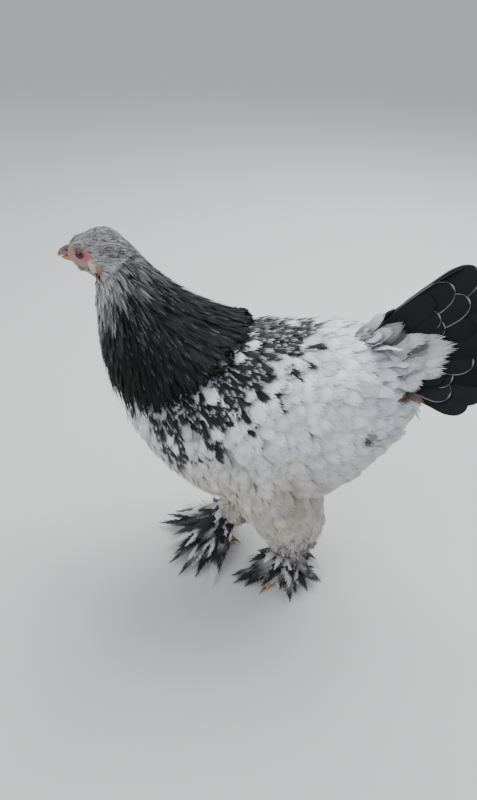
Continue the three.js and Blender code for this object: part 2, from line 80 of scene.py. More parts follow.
# The hackle's outline: its front and back edges, half width, and the core hidden in it
hackle_front = (line([[0, -143], [0.25, -146], [0.5, -146], [0.75, -141], [1, -131]]),
                line([[0, 410], [0.25, 374], [0.5, 340], [0.75, 302], [1, 265]]))
hackle_back = (line([[0, -106], [0.25, -82], [0.5, -52], [0.75, -18], [1, 22]]),
               line([[0, 456], [0.25, 428], [0.5, 402], [0.75, 382], [1, 368]]))
hackle_half = line([[0, 19], [0.25, 32], [0.5, 50], [0.75, 70], [1, 88]])
hackle_core = line([[0, 0.9], [0.25, 0.84], [0.5, 0.76], [0.75, 0.66], [1, 0.56]])

tail_root = np.array([160.0, 0, 348])
tail_pitch = math.radians(36)
feet = {
    "left": dict(side=-1, turn=math.radians(22),
                 foot=np.array([86.0, -42, 0]), ankle=np.array([92.0, -43, 66])),
    "right": dict(side=1, turn=math.radians(10),
                  foot=np.array([-14.0, 8, 0]), ankle=np.array([4.0, 12, 50])),
}
# Each toe: its name, angle in degrees, length and radius
toes = [("inner", 36, 42, 5.0), ("middle", 0, 56, 5.4), ("outer", -36, 45, 4.8), ("hind", 164, 25, 4.4)]
head_yaw = math.radians(3)
eye_line = np.array([-150, 0, 445])
eyes = ((-1, "left"), (1, "right"))

# Measures in metres: the eyes, the lids and the depth of the coat
eye_radius = 0.0052
lid_ring, lid_thickness = 0.0042, 0.0011
lid_stretch = (1.05, 1, 0.88)
lid_out = 0.0034
coat_depth = 0.008


# Ways of making and finishing a mesh
def deselect():
    bpy.ops.object.select_all(action="DESELECT")


def only(piece):
    deselect()
    piece.select_set(True)
    bpy.context.view_layer.objects.active = piece


def apply(piece, kind, **settings):
    only(piece)
    modifier = piece.modifiers.new(kind.lower(), kind)
    for name, value in settings.items():
        setattr(modifier, name, value)
    bpy.ops.object.modifier_apply(modifier=modifier.name)


def smoothed(piece, voxel, passes):
    """Remeshed at a voxel size in metres, then smoothed."""
    apply(piece, "REMESH", mode="VOXEL", voxel_size=voxel)
    apply(piece, "SMOOTH", factor=0.5, iterations=passes)


def vertices(piece):
    flat = np.empty(len(piece.data.vertices) * 3)
    piece.data.vertices.foreach_get("co", flat)
    return flat.reshape(-1, 3)


def wrapped(name, form, along, around):
    """A grid rolled up round form(t, turn) and closed at both ends."""
    deselect()
    bpy.ops.mesh.primitive_grid_add(x_subdivisions=along, y_subdivisions=around, size=1)
    piece = bpy.context.object
    piece.name = name
    flat = vertices(piece)
    rolled = placed(form(flat[:, 0] + 0.5, (flat[:, 1] + 0.5) * 2 * math.pi))
    piece.data.vertices.foreach_set("co", rolled.ravel())
    bpy.ops.object.mode_set(mode="EDIT")
    bpy.ops.mesh.select_all(action="SELECT")
    bpy.ops.mesh.remove_doubles(threshold=1e-6)
    bpy.ops.mesh.fill_holes(sides=0)
    bpy.ops.mesh.normals_make_consistent(inside=False)
    bpy.ops.object.mode_set(mode="OBJECT")
    return piece


def copied(name, nodes):
    """One merged mesh of copies of CAD nodes."""
    deselect()
    copies = []
    for node in nodes:
        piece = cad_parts[node].copy()
        piece.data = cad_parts[node].data.copy()
        bpy.context.collection.objects.link(piece)
        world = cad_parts[node].matrix_world.copy()
        piece.parent = None
        piece.data.transform(world)
        piece.matrix_world.identity()
        piece.hide_render = False
        copies.append(piece)
    for piece in copies:
        piece.select_set(True)
    bpy.context.view_layer.objects.active = copies[0]
    if len(copies) > 1:
        bpy.ops.object.join()
    piece = bpy.context.view_layer.objects.active
    piece.name = name
    piece.data.materials.clear()
    only(piece)
    bpy.ops.object.mode_set(mode="EDIT")
    bpy.ops.mesh.select_all(action="SELECT")
    bpy.ops.mesh.remove_doubles(threshold=1e-6)
    bpy.ops.object.mode_set(mode="OBJECT")
    return piece


def join(name, pieces):
    deselect()
    for piece in pieces:
        piece.select_set(True)
    bpy.context.view_layer.objects.active = pieces[0]
    bpy.ops.object.join()
    pieces[0].name = name
    return pieces[0]


def smooth_faces(piece):
    only(piece)
    bpy.ops.object.shade_smooth()


# Shader maths: a value wraps a socket, and sums on values add Math nodes
class Value:
    def __init__(self, paint, socket):
        self.paint, self.socket = paint, socket

    def sum(self, kind, other):
        return self.paint.node("ShaderNodeMath", {"operation": kind}, [self, other])

    def __add__(self, other):
        return self.sum("ADD", other)

    def __sub__(self, other):
        return self.sum("SUBTRACT", other)

    def __mul__(self, other):
        return self.sum("MULTIPLY", other)


class Paint:
    """A material with its shader and one method that makes every other node."""

    def __init__(self, name, **fixed):
        self.material = bpy.data.materials.new(name)
        self.material.use_nodes = True
        self.tree = self.material.node_tree
        self.shader = self.tree.nodes["Principled BSDF"]
        for socket, value in fixed.items():
            self.shader.inputs[socket.replace("_", " ")].default_value = value

    def node(self, kind, settings=None, sockets=None, out=0):
        made = self.tree.nodes.new(kind)
        for name, value in (settings or {}).items():
            if name == "stops":
                ramp = made.color_ramp
                while len(ramp.elements) < len(value):
                    ramp.elements.new(0.5)
                for element, (place, colour) in zip(ramp.elements, value):
                    element.position = place
                    element.color = (*colour, 1) if isinstance(colour, tuple) else (colour,) * 3 + (1,)
            else:
                setattr(made, name, value)
        pairs = sockets.items() if isinstance(sockets, dict) else enumerate(sockets or [])
        for name, value in pairs:
            if isinstance(value, Value):
                self.tree.links.new(value.socket, made.inputs[name])
            elif value is not None:
                made.inputs[name].default_value = value
        return Value(self, made.outputs[out])

    def feed(self, **links):
        for socket, value in links.items():
            self.tree.links.new(value.socket, self.shader.inputs[socket.replace("_", " ")])

    def tint(self):
        return self.node("ShaderNodeAttribute", {"attribute_name": "plume"})

    def place(self):
        return self.node("ShaderNodeTexCoord", out="Object")

    def noise(self, scale, detail=3.0, rough=0.55):
        sockets = {"Vector": self.place(), "Scale": scale, "Detail": detail, "Roughness": rough}
        return self.node("ShaderNodeTexNoise", None, sockets)

    def cells(self, scale, feature="F1"):
        sockets = {"Vector": self.place(), "Scale": scale}
        return self.node("ShaderNodeTexVoronoi", {"feature": feature}, sockets)

    def ramp(self, value, *stops):
        return self.node("ShaderNodeValToRGB", {"stops": list(stops)}, [value])

    def shaded(self, colour, shade):
        """A colour multiplied by a shade."""
        kind = {"data_type": "RGBA", "blend_type": "MULTIPLY"}
        return self.node("ShaderNodeMix", kind, {0: 1.0, 6: colour, 7: shade}, out=2)

    def bump(self, height, distance, strength):
        sockets = {"Height": height, "Distance": distance, "Strength": strength}
        self.feed(Normal=self.node("ShaderNodeBump", None, sockets))


def plumage_paint(name, rough, sheen, shine):
    """Feather: the colours painted on its vertices, with faint barbs across each vane."""
    paint = Paint(name, Sheen_Weight=sheen, Sheen_Roughness=0.5, Specular_IOR_Level=shine)
    tint = paint.tint()
    grain = paint.noise(900.0, 2.0)
    soft = paint.noise(60.0, 3.0)
    shade = paint.ramp(grain * 0.6 + soft * 0.4, (0.3, 0.82), (0.7, 1.06))
    paint.feed(Base_Color=paint.shaded(tint, shade), Roughness=grain * 0.2 + (rough - 0.1))
    vane = paint.node("ShaderNodeUVMap", {"uv_map": "vane"})
    split = paint.node("ShaderNodeSeparateXYZ", None, [vane])
    across = paint.node("ShaderNodeMath", {"operation": "ABSOLUTE"}, [split])
    along = Value(paint, split.socket.node.outputs[1])
    barbs = paint.node("ShaderNodeMath", {"operation": "SINE"}, [(along * 60.0 - across * 18.0) * 6.283])
    paint.bump(barbs * 0.5 + grain, 0.0002, 0.5)
    return paint.material


def skin_paint():
    """Pale skin that shows only between the feathers."""
    paint = Paint("bare skin under the coat", Specular_IOR_Level=0.3)
    grain = paint.noise(350.0)
    paint.feed(Base_Color=paint.ramp(grain, (0.3, (0.42, 0.33, 0.28)), (0.7, (0.62, 0.52, 0.45))),
               Roughness=grain * 0.2 + 0.6)
    paint.bump(paint.cells(420.0), 0.0004, 0.6)
    return paint.material


def face_paint():
    """Finely pebbled skin, with painted shade in its folds, in the colours painted on its vertices."""
    paint = Paint("face skin", Subsurface_Weight=0.12, Subsurface_Scale=0.003, Specular_IOR_Level=0.4)
    tint = paint.tint()
    pebbles = paint.cells(900.0)
    folds = paint.noise(260.0, 4.0)
    # Painted shade: the skin darker where its folds sink
    shade = paint.ramp(pebbles * 0.5 + folds * 0.6, (0.2, 0.7), (0.75, 1.1))
    paint.feed(Base_Color=paint.shaded(tint, shade), Roughness=folds * 0.3 + 0.38)
    paint.bump(folds * 0.8 - pebbles, 0.0006, 0.7)
    return paint.material


def horn_paint():
    """Horn with fine lines along it, in the colours painted on its vertices."""
    paint = Paint("beak horn", Specular_IOR_Level=0.5)
    tint = paint.tint()
    grain = paint.node("ShaderNodeMapping", None, {"Vector": paint.place(), "Scale": (90.0, 420.0, 420.0)})
    lines = paint.node("ShaderNodeTexNoise", None, {"Vector": grain, "Scale": 1.0, "Detail": 4.0})
    paint.feed(Base_Color=paint.shaded(tint, paint.ramp(lines, (0.3, 0.72), (0.7, 1.1))),
               Roughness=lines * 0.25 + 0.25)
    paint.bump(lines, 0.0002, 0.5)
    return paint.material


def scale_paint():
    """Yellow foot skin in rows of scales."""
    paint = Paint("scaled yellow skin", Specular_IOR_Level=0.4)
    scales = paint.cells(230.0, "DISTANCE_TO_EDGE")
    ridge = paint.ramp(scales, (0.0, 0.0), (0.16, 1.0))
    grime = paint.noise(120.0, 4.0)
    colour = paint.ramp(grime, (0.3, (0.36, 0.21, 0.07)), (0.68, (0.66, 0.42, 0.14)))
    paint.feed(Base_Color=paint.shaded(colour, paint.ramp(scales, (0.0, 0.45), (0.14, 1.0))),
               Roughness=grime * 0.3 + 0.4)
    paint.bump(ridge, 0.0007, 0.8)
    return paint.material


def eye_paint():
    """Dark red-brown iris round a black pupil, wet all over."""
    paint = Paint("eye", Roughness=0.07, Specular_IOR_Level=0.45)
    tint = paint.tint()
    fibres = paint.noise(1800.0, 2.0)
    paint.feed(Base_Color=paint.shaded(tint, paint.ramp(fibres, (0.3, 0.6), (0.7, 1.25))))
    return paint.material


def tinted(piece, colours):
    """Sets the plume attribute of a piece from one colour a vertex."""
    layer = piece.data.color_attributes.new("plume", "FLOAT_COLOR", "POINT")
    full = np.ones((len(piece.data.vertices), 4))
    full[:, :3] = colours
    layer.data.foreach_set("color", full.ravel())


# Guides: the outer forms that the coat lies on. They aren't part of the finished bird.
body_nodes = ["torso", "wing_left", "wing_right", "thigh_left", "thigh_right"]
body_guide = copied("body_guide", body_nodes)
smoothed(body_guide, 0.005, 12)


def hackle_form(fill, end=1.0):
    """A form(t, turn) of the neck that fills a share of the hackle's outline down to the end."""
    def form(t, turn):
        s = t * end
        front = np.stack([hackle_front[0](s), 0 * s, hackle_front[1](s)], 1)
        back = np.stack([hackle_back[0](s), 0 * s, hackle_back[1](s)], 1)
        share = np.asarray(fill(s))[:, None]
        spread = np.stack([0 * s, -hackle_half(s) * share[:, 0] * np.sin(turn), 0 * s], 1)
        return (front + back) / 2 + (back - front) / 2 * share * np.cos(turn)[:, None] + spread
    return form


def whole(s):
    """The full outline at every s."""
    return 1 + 0 * s


def tree_of(piece):
    """A mesh as a surface that gives its nearest place to any point."""
    corners = [v.co.copy() for v in piece.data.vertices]
    return BVHTree.FromPolygons(corners, [tuple(p.vertices) for p in piece.data.polygons])


neck_guide = wrapped("neck_guide", hackle_form(whole, 1.04), 40, 64)
upper_guide = join("upper_guide", [copied("head_guide", ["head"]), neck_guide])
smoothed(upper_guide, 0.0018, 5)
body_tree, upper_tree = tree_of(body_guide), tree_of(upper_guide)

# Skin: the body within its coat
skin_body = body_guide.copy()
skin_body.data = body_guide.data.copy()
bpy.context.collection.objects.link(skin_body)
apply(skin_body, "DISPLACE", strength=-coat_depth, mid_level=0.0)
skin_neck = wrapped("skin_neck", hackle_form(hackle_core), 30, 40)
skin = join("skin", [skin_body, skin_neck])
smoothed(skin, 0.004, 6)
smooth_faces(skin)
skin.data.materials.append(skin_paint())


# Head skin, with the lids that ring the eyes
def eye_middle(name):
    low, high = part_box("eye_" + name)
    return (Vector(low) + Vector(high)) / 2


lids = []
for side, name in eyes:
    deselect()
    bpy.ops.mesh.primitive_torus_add(location=(0, 0, 0), rotation=(math.pi / 2, 0, 0), major_segments=40,
                                     minor_segments=12, major_radius=lid_ring, minor_radius=lid_thickness)
    lid = bpy.context.object
    lid.scale = lid_stretch
    bpy.ops.object.transform_apply(location=False, rotation=True, scale=True)
    lid.data.transform(Matrix.Translation(eye_middle(name) + Vector((0, side * lid_out, 0))))
    lids.append(lid)
head = join("head_skin", [copied("head_form", ["head"])] + lids)
smoothed(head, 0.0007, 4)
smooth_faces(head)


def in_head(points):
    """Places in the frame as millimetres about the eyes, along the head's own axes."""
    local = (np.asarray(points) - shift) / mm - eye_line
    c, s = math.cos(head_yaw), math.sin(head_yaw)
    return np.stack([local[:, 0] * c - local[:, 1] * s, local[:, 0] * s + local[:, 1] * c, local[:, 2]], 1)


def folded(spots):
    """The same places with both sides of the head brought to one."""
    return spots * [1, 0, 1] + np.abs(spots) * [0, 1, 0]


def near(points, centre, size):
    """How far points lie from a centre, in its half sizes."""
    return np.sqrt((((points - np.array(centre)) / np.array(size)) ** 2).sum(1))


def blend(colour, other, share):
    """Colours moved towards another one by a share of each."""
    share = np.clip(share, 0, 1)[:, None]
    return colour * (1 - share) + np.array(other) * share


face_base, feathered_skin = (0.36, 0.185, 0.165), (0.30, 0.27, 0.25)
# Each patch of the face: its colour, strength, fall, centre and half sizes
face_patches = [
    ((0.44, 0.10, 0.11), 1.4, 1.0, (9, 14, -2), (5, 9, 6)),
    # Painted shade in front of and above the eye, under the brow
    ((0.16, 0.075, 0.06), 1.3, 1.0, (-4, 14, 4), (7, 9, 4)),
    # Painted shade round the eye, darkest on the lids
    ((0.10, 0.04, 0.03), 3.2, 2.6, (0, 16, 0), (4.8, 5, 4.2)),
    ((0.60, 0.48, 0.40), 2.4, 1.6, (13, 17, -14), (5, 5, 8)),
    ((0.34, 0.17, 0.13), 2.0, 1.4, (20, 17, -13), (3.5, 5, 6)),
    ((0.34, 0.125, 0.06), 2.2, 1.5, (18, 17, -24), (5, 5, 6)),
    ((0.30, 0.07, 0.03), 1.6, 1.2, (18, 19, -28), (3.5, 4, 2.5)),
]
at_head = in_head(vertices(head))
face_colour = np.tile(face_base, (len(at_head), 1))
for colour, strength, fall, centre, size in face_patches:
    face_colour = blend(face_colour, colour, strength - fall * near(folded(at_head), centre, size))
covered = np.clip((at_head[:, 2] - 7) / 2, 0, 1) + np.clip((at_head[:, 0] - 22) / 4, 0, 1)
face_colour = blend(face_colour, feathered_skin, covered)
tinted(head, face_colour)
head.data.materials.append(face_paint())

# Eyes: a ball each, its iris and pupil painted round the pole that looks out
iris_colour, pupil_colour, rim_colour = (0.075, 0.026, 0.01), (0.004, 0.003, 0.003), (0.05, 0.02, 0.015)
pupil_size, iris_size = 0.5, 0.74
for side, name in eyes:
    deselect()
    bpy.ops.mesh.primitive_uv_sphere_add(segments=40, ring_count=24, radius=eye_radius, location=(0, 0, 0),
                                         rotation=(math.pi / 2, 0, 0))
    eye = bpy.context.object
    eye.name = "eyeball_" + name
    bpy.ops.object.transform_apply(location=False, rotation=True, scale=False)
    out = side * vertices(eye)[:, 1] / eye_radius
    eye.data.transform(Matrix.Translation(eye_middle(name)))
    away = np.sqrt(np.clip(1 - np.clip(out, 0, 1) ** 2, 0, 1))
    iris = np.tile(iris_colour, (len(out), 1))
    iris = blend(iris, pupil_colour, (pupil_size - away) * 14)
    iris = blend(iris, rim_colour, (away - iris_size) * 10)
    tinted(eye, iris)
    eye.data.materials.append(eye_paint())
    smooth_faces(eye)
    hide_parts("eye_" + name)
    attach(eye, "root")

# Beak and claws: the solids' forms, smoothed
beak_nodes = {"upper_bill": "beak_upper", "lower_bill": "beak_lower"}
horn = horn_paint()
claw_colour = (0.20, 0.13, 0.08)


def lower_beak_colours(spot):
    """Orange horn, darker under the chin."""
    return blend(np.tile([0.42, 0.20, 0.06], (len(spot), 1)), (0.30, 0.11, 0.05), (-11 - spot[:, 2]) / 2)


def upper_beak_colours(spot):
    """Grey horn, pale along the cutting edge, with a dark tip and nostril."""
    at_tip = -29 - spot[:, 0]
    beak = blend(np.tile([0.17, 0.14, 0.14], (len(spot), 1)), (0.10, 0.075, 0.085), (spot[:, 2] + 3) / 5)
    beak = blend(beak, (0.42, 0.26, 0.10), -6.3 - spot[:, 2] - np.clip(at_tip / 2, 0, 3))
    beak = blend(beak, (0.05, 0.04, 0.04), at_tip / 4)
    nostril = near(folded(spot), (-20.5, 5.2, -0.8), (2.4, 2, 1.2))
    return blend(beak, (0.02, 0.012, 0.01), 2.5 - 2 * nostril)


for name, node in beak_nodes.items():
    piece = copied(name, [node])
    smoothed(piece, 0.0005, 4)
    smooth_faces(piece)
    colours = lower_beak_colours if node == "beak_lower" else upper_beak_colours
    tinted(piece, colours(in_head(vertices(piece))))
    piece.data.materials.append(horn)
    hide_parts(node)
    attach(piece, "root")
for foot in ("left", "right"):
    for toe, *_ in toes:
        node = f"claw_{foot}_{toe}"
        piece = copied(node + "_horn", [node])
        smoothed(piece, 0.0006, 3)
        smooth_faces(piece)
        tinted(piece, np.tile(claw_colour, (len(piece.data.vertices), 1)))
        piece.data.materials.append(horn)
        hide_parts(node)
        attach(piece, "root")


# Legs and toes
def toe_way(leg, angle):
    """The level direction in which a toe points."""
    turn = (math.radians(angle) - leg["turn"]) * leg["side"]
    return np.array([-math.cos(turn), -math.sin(turn), 0])


def bare_rod(path, radii):
    """A tapered round rod along a path, as a bevelled curve made a mesh."""
    curve = bpy.data.curves.new("rod", "CURVE")
    curve.dimensions = "3D"
    curve.bevel_depth = 1.0
    curve.bevel_resolution = 4
    curve.use_fill_caps = True
    spline = curve.splines.new("POLY")
    spline.points.add(len(path) - 1)
    for point, place, radius in zip(spline.points, path, radii):
        point.co = (*placed(place), 1)
        point.radius = radius * mm
    piece = bpy.data.objects.new("rod", curve)
    bpy.context.collection.objects.link(piece)
    only(piece)
    bpy.ops.object.convert(target="MESH")
    return bpy.context.object


bare = []
for leg in feet.values():
    halfway = leg["foot"] * 0.5 + leg["ankle"] * 0.5
    shank = [leg["foot"] + (0, 0, 8), halfway, leg["ankle"], leg["ankle"] + (2, 0, 30)]
    bare.append(bare_rod(shank, [8.4, 7.4, 8.2, 9]))
    for _, angle, length, r in toes:
        way = toe_way(leg, angle)
        steps = np.linspace(0, 1, 13)
        knuckles = 1 + 0.09 * np.cos(steps * math.pi * 6)
        radii = (r + 1.1 - steps * (0.15 * r + 1.1)) * knuckles
        path = [leg["foot"] + way * length * t + (0, 0, radius * 0.93) for t, radius in zip(steps, radii)]
        bare.append(bare_rod(path, radii))
legs_skin = join("legs_and_toes", bare)
smoothed(legs_skin, 0.0016, 3)
points = vertices(legs_skin)
points[:, 2] = np.maximum(points[:, 2], 0.0)
legs_skin.data.vertices.foreach_set("co", points.ravel())
smooth_faces(legs_skin)
legs_skin.data.materials.append(scale_paint())


# Feathers. A pattern is the barbs of one feather: u across it, v along it, w off its face.
def pattern(barbs, outline, sweep, width, fray, rise=0.0, blunt=0.3, seed=0):
    """Barbs on both sides of a shaft, each two faces long and blunt or pointed at its end."""
    draw = np.random.default_rng(seed)
    spots, faces = [], []
    for side in (-1, 1):
        for k in range(barbs):
            v0 = 0.02 + 0.88 * (k + 0.5 * (side > 0)) / barbs
            dv = width * 0.9 / barbs
            reach = sweep * (1 + 0.5 * v0)
            v1 = min(1.01, v0 + reach) + fray * 0.12 * draw.uniform(-1, 1)
            out = outline(min(0.99, v0 + reach * 0.8)) * (1 + fray * draw.uniform(-1, 0.5))
            w = rise * draw.uniform(-1, 1)
            n = len(spots)
            lean, vm = 0.58 * out, v0 + reach * 0.45
            spots += [(0, v0, 0), (0, min(1, v0 + dv), 0),
                      (side * lean, vm, w * 0.4), (side * lean, min(1, vm + dv * 0.85), w * 0.4),
                      (side * out, v1, w), (side * out, v1 + dv * blunt, w)]
            loop = [(n, n + 2, n + 3, n + 1), (n + 2, n + 4, n + 5, n + 3)]
            faces += [tuple(reversed(f)) for f in loop] if side < 0 else loop
    n = len(spots)
    spots += [(-0.14, 0.88, 0), (0.14, 0.88, 0), (0, 1.03, 0)]
    spots += [(-0.03, 0, 0.3), (0.03, 0, 0.3), (0.01, 0.95, 0.1)]
    faces += [(n, n + 1, n + 2), (n + 3, n + 4, n + 5)]
    return np.array(spots, float), faces


def oval(v):
    return max(0.05, math.sin(math.pi * min(1, v) ** 0.9)) ** 0.5


def lance(v):
    return max(0.05, math.sin(math.pi * min(1, v) ** 0.8)) ** 0.8


def smooth_vane(outline, wave, seed):
    """A whole vane in rows from root to rounded tip, its edge a little uneven."""
    draw = np.random.default_rng(seed)
    across = np.array([-1, -0.9, -0.55, -0.12, 0.12, 0.55, 0.9, 1])
    tip = 1 - 0.17 * (1 - np.sin(np.linspace(0.1, math.pi / 2, 7)))
    rows = np.concatenate([np.linspace(0.0, 0.82, 12), tip])
    spots, faces = [], []
    for i, v in enumerate(rows):
        out = outline(v) * (1 + wave * draw.uniform(-1, 1))
        spots += [(u * out, v, 0.12 * math.sin(9 * v + 2 * u)) for u in across]
        for k in range(len(across) - 1 if i else 0):
            n = i * len(across) + k
            faces.append((n - len(across), n - len(across) + 1, n + 1, n))
    return np.array(spots, float), faces


def round_end(v):
    return (0.5 + 0.5 * min(1, v / 0.45)) * math.sqrt(max(0.004, 1 - max(0, (v - 0.78) / 0.22) ** 2.2))


patterns = {
    "vane": [smooth_vane(round_end, 0.015, 100 + k) for k in range(4)],
    "covert": [pattern(24, oval, 0.13, 2.0, 0.05, 0.3, 0.9, 110 + k) for k in range(4)],
    "contour": [pattern(15, oval, 0.17, 2.0, 0.06, 0.4, 0.8, k) for k in range(6)],
    "down": [pattern(9, oval, 0.32, 1.0, 0.45, 1.8, 0.15, 20 + k) for k in range(6)],
    "lance": [pattern(12, lance, 0.15, 1.8, 0.14, 0.35, 0.3, 40 + k) for k in range(6)],
    "small": [pattern(4, lance, 0.45, 1.5, 0.2, 0.2, 0.15, 80 + k) for k in range(5)],
}


def along(rows, v):
    """Values of rows (feathers, rows, 3) at shares v of their length (feathers or 1, spots)."""
    last = rows.shape[1] - 1
    q = np.clip(v, 0, 1) * last
    i = np.minimum(q.astype(int), last - 1)
    t = (q - i)[..., None]
    pick = np.arange(len(rows))[:, None]
    value = rows[pick, i] * (1 - t) + rows[pick, i + 1] * t
    over = np.clip(v - 1, 0, 1)[..., None]
    return value + (rows[:, -1:] - rows[:, -2:-1]) * last * over


def unit(v):
    return v / np.maximum(np.linalg.norm(v, axis=-1, keepdims=True), 1e-9)


coat = []
most_triangles = 195000


def plumage(name, kind, rows, facing, wide, colours, place, paint, cup=0.12, patch=0.003):
    """Feathers laid along rows of points, halved by place until each mesh is small enough."""
    total = len(rows)
    each = max(sum(len(face) - 2 for face in faces) for _, faces in patterns[kind])
    if total * each > most_triangles:
        half = total // 2
        order = np.argsort(rows[:, 0, 0])
        for number, part in enumerate((order[:half], order[half:])):
            plumage(f"{name}_{number + 1}", kind, rows[part], facing[part], wide[part],
                    lambda chosen, u, v, part=part: colours(part[chosen], u, v),
                    place[part], paint, cup, patch)
        return
    ahead = unit(np.gradient(rows, axis=1))
    facing = unit(facing)
    side = unit(np.cross(ahead, facing))
    up = unit(np.cross(side, ahead))
    choice = chance.integers(0, len(patterns[kind]), total)
    spots, loops, tints, maps, vanes = [], [], [], [], []
    start = 0
    for index, (spot, faces) in enumerate(patterns[kind]):
        chosen = np.nonzero(choice == index)[0]
        if not len(chosen):
            continue
        u, v, w = spot.T
        vv = np.broadcast_to(v, (len(chosen), len(v)))
        half = wide[chosen][:, None] / 2
        where = (along(rows[chosen], vv) + along(side[chosen], np.clip(vv, 0, 1)) * (u * half)[..., None]
                 + along(up[chosen], np.clip(vv, 0, 1)) * (w * mm - cup * (u ** 2) * half)[..., None])
        count = len(spot)
        spots.append(where.reshape(-1, 3))
        for n in range(len(chosen)):
            base = start + n * count
            loops.extend([tuple(base + i for i in face) for face in faces])
        start += len(chosen) * count
        tints.append(colours(chosen, np.abs(u), v).reshape(-1, 3))
        centre = place[chosen][:, None, :]
        maps.append((centre + patch * np.stack([u * 0.5, v - 0.5], 1)[None]).reshape(-1, 2))
        vanes.append(np.tile(np.stack([u, v], 1), (len(chosen), 1)))
    mesh = bpy.data.meshes.new(name)
    mesh.from_pydata(np.concatenate(spots).tolist(), [], loops)
    piece = bpy.data.objects.new(name, mesh)
    bpy.context.collection.objects.link(piece)
    tinted(piece, np.clip(np.concatenate(tints), 0.003, 0.9))
    corner = np.empty(len(mesh.loops), int)
    mesh.loops.foreach_get("vertex_index", corner)
    for title, flat in (("OFBake", np.concatenate(maps)), ("vane", np.concatenate(vanes))):
        mesh.uv_layers.new(name=title).data.foreach_set("uv", flat[corner].ravel())
    mesh.materials.append(paint)
    mesh.polygons.foreach_set("use_smooth", np.ones(len(mesh.polygons), bool))
    coat.append(piece)


def scattered(piece, spacing, keep, seed):
    """Places on a mesh about spacing apart in metres, where keep says so of its millimetres."""
    draw = np.random.default_rng(seed)
    mesh = piece.data
    mesh.calc_loop_triangles()
    tri = np.empty(len(mesh.loop_triangles) * 3, int)
    mesh.loop_triangles.foreach_get("vertices", tri)
    corners = vertices(piece)[tri.reshape(-1, 3)]
    area = np.linalg.norm(np.cross(corners[:, 1] - corners[:, 0], corners[:, 2] - corners[:, 0]), axis=1) / 2
    wanted = int(area.sum() / (spacing ** 2) * 5)
    pick = draw.choice(len(area), wanted, p=area / area.sum())
    a, b = draw.random(wanted), draw.random(wanted)
    flip = a + b > 1
    a[flip], b[flip] = 1 - a[flip], 1 - b[flip]
    origin, one, other = (corners[pick, k] for k in range(3))
    spots = origin + (one - origin) * a[:, None] + (other - origin) * b[:, None]
    spots = spots[keep((spots - shift) / mm)]
    least = spacing ** 2 * 0.72
    beside = list(product((-1, 0, 1), repeat=3))
    taken, cells = [], {}
    for n, spot in enumerate(spots):
        x, y, z = (spot / spacing).astype(int)
        rivals = [m for i, j, k in beside for m in cells.get((x + i, y + j, z + k), ())]
        if all(((spots[m] - spot) ** 2).sum() >= least for m in rivals):
            cells.setdefault((x, y, z), []).append(n)
            taken.append(n)
    return spots[taken]


def laid(tree, roots, lengths, flow, lifts, stiff=0.0, steps=5, spread=0.12):
    """Rows that follow a surface from each root, lifted off it from root to tip."""
    rows, facing = np.empty((len(roots), steps, 3)), np.empty((len(roots), steps, 3))
    yaw = chance.normal(0, spread, len(roots))
    for n, root in enumerate(roots):
        point, normal, _, _ = tree.find_nearest(Vector(root))
        stride = lengths[n] / (steps - 1)
        way = None
        for k in range(steps):
            rows[n, k], facing[n, k] = point, normal
            ahead = Vector(flow((np.array(point) - shift) / mm))
            ahead = (ahead - normal * ahead.dot(normal)).normalized()
            ahead = (ahead + normal.cross(ahead) * yaw[n]).normalized()
            way = ahead if way is None else (ahead * (1 - stiff) + way * stiff).normalized()
            free = point + way * stride
            held, normal, _, _ = tree.find_nearest(free)
            point = held.lerp(free, stiff)
    share = np.linspace(0, 1, steps)
    rise = lifts[:, :1] + (lifts[:, 1:] - lifts[:, :1]) * share[None] ** 0.8
    return rows + unit(facing) * rise[..., None], facing


def paint_by(base, tip=None, edge=None, edge_at=0.8, streak=None, tip_at=0.93, outline=None):
    """A colour function: base colour, to a tip colour, with a laced edge, a streak down the shaft, and a
    darkening towards the root that is partly grey down and partly painted shade.
    """
    def colours(chosen, u, v):
        grid = np.broadcast_to(base[chosen][:, None, :], (len(chosen), len(u), 3)).copy()
        if tip is not None:
            share = np.clip((v - 0.45) / 0.4, 0, 1)[None, :, None]
            grid = grid * (1 - share) + tip[chosen][:, None, :] * share
        if outline is not None:
            u = u / np.array([outline(place) for place in v])
        if edge is not None:
            sides = np.clip((u - edge_at) / 0.15, 0, 1)
            end = np.clip((v - tip_at) / (1 - tip_at) * 1.5, 0, 1)
            share = (sides + end).clip(0, 1)[None, :, None]
            grid = grid * (1 - share) + edge[chosen][:, None, :] * share
        if streak is not None:
            share = (np.clip(1 - u / 0.35, 0, 1) * np.clip((v - 0.3) / 0.3, 0, 1))[None, :, None]
            grid = grid * (1 - share) + streak[chosen][:, None, :] * share
        # Darker towards the root: partly the grey down there, partly painted shade where the feathers
        # overlap
        shade = np.clip(0.42 + 0.7 * v, 0, 1)[None, :, None]
        return grid * shade
    return colours


def varied(colour, count, amount):
    """One colour a feather, lighter or darker by chance."""
    return np.clip(np.array(colour) * (1 + chance.normal(0, amount, (count, 1))), 0.002, 0.95)


def chosen_between(one, other, mask):
    return np.where(mask[:, None], one, other)


def waves(spots, scale, seed):
    """Smooth patches from -1 to 1 over places in millimetres."""
    draw = np.random.default_rng(seed)
    total = 0
    for _ in range(5):
        way = unit(draw.normal(size=3))
        total = total + np.sin(spots @ way / scale * (0.7 + draw.random()) + draw.random() * 6.3)
    return total / 3


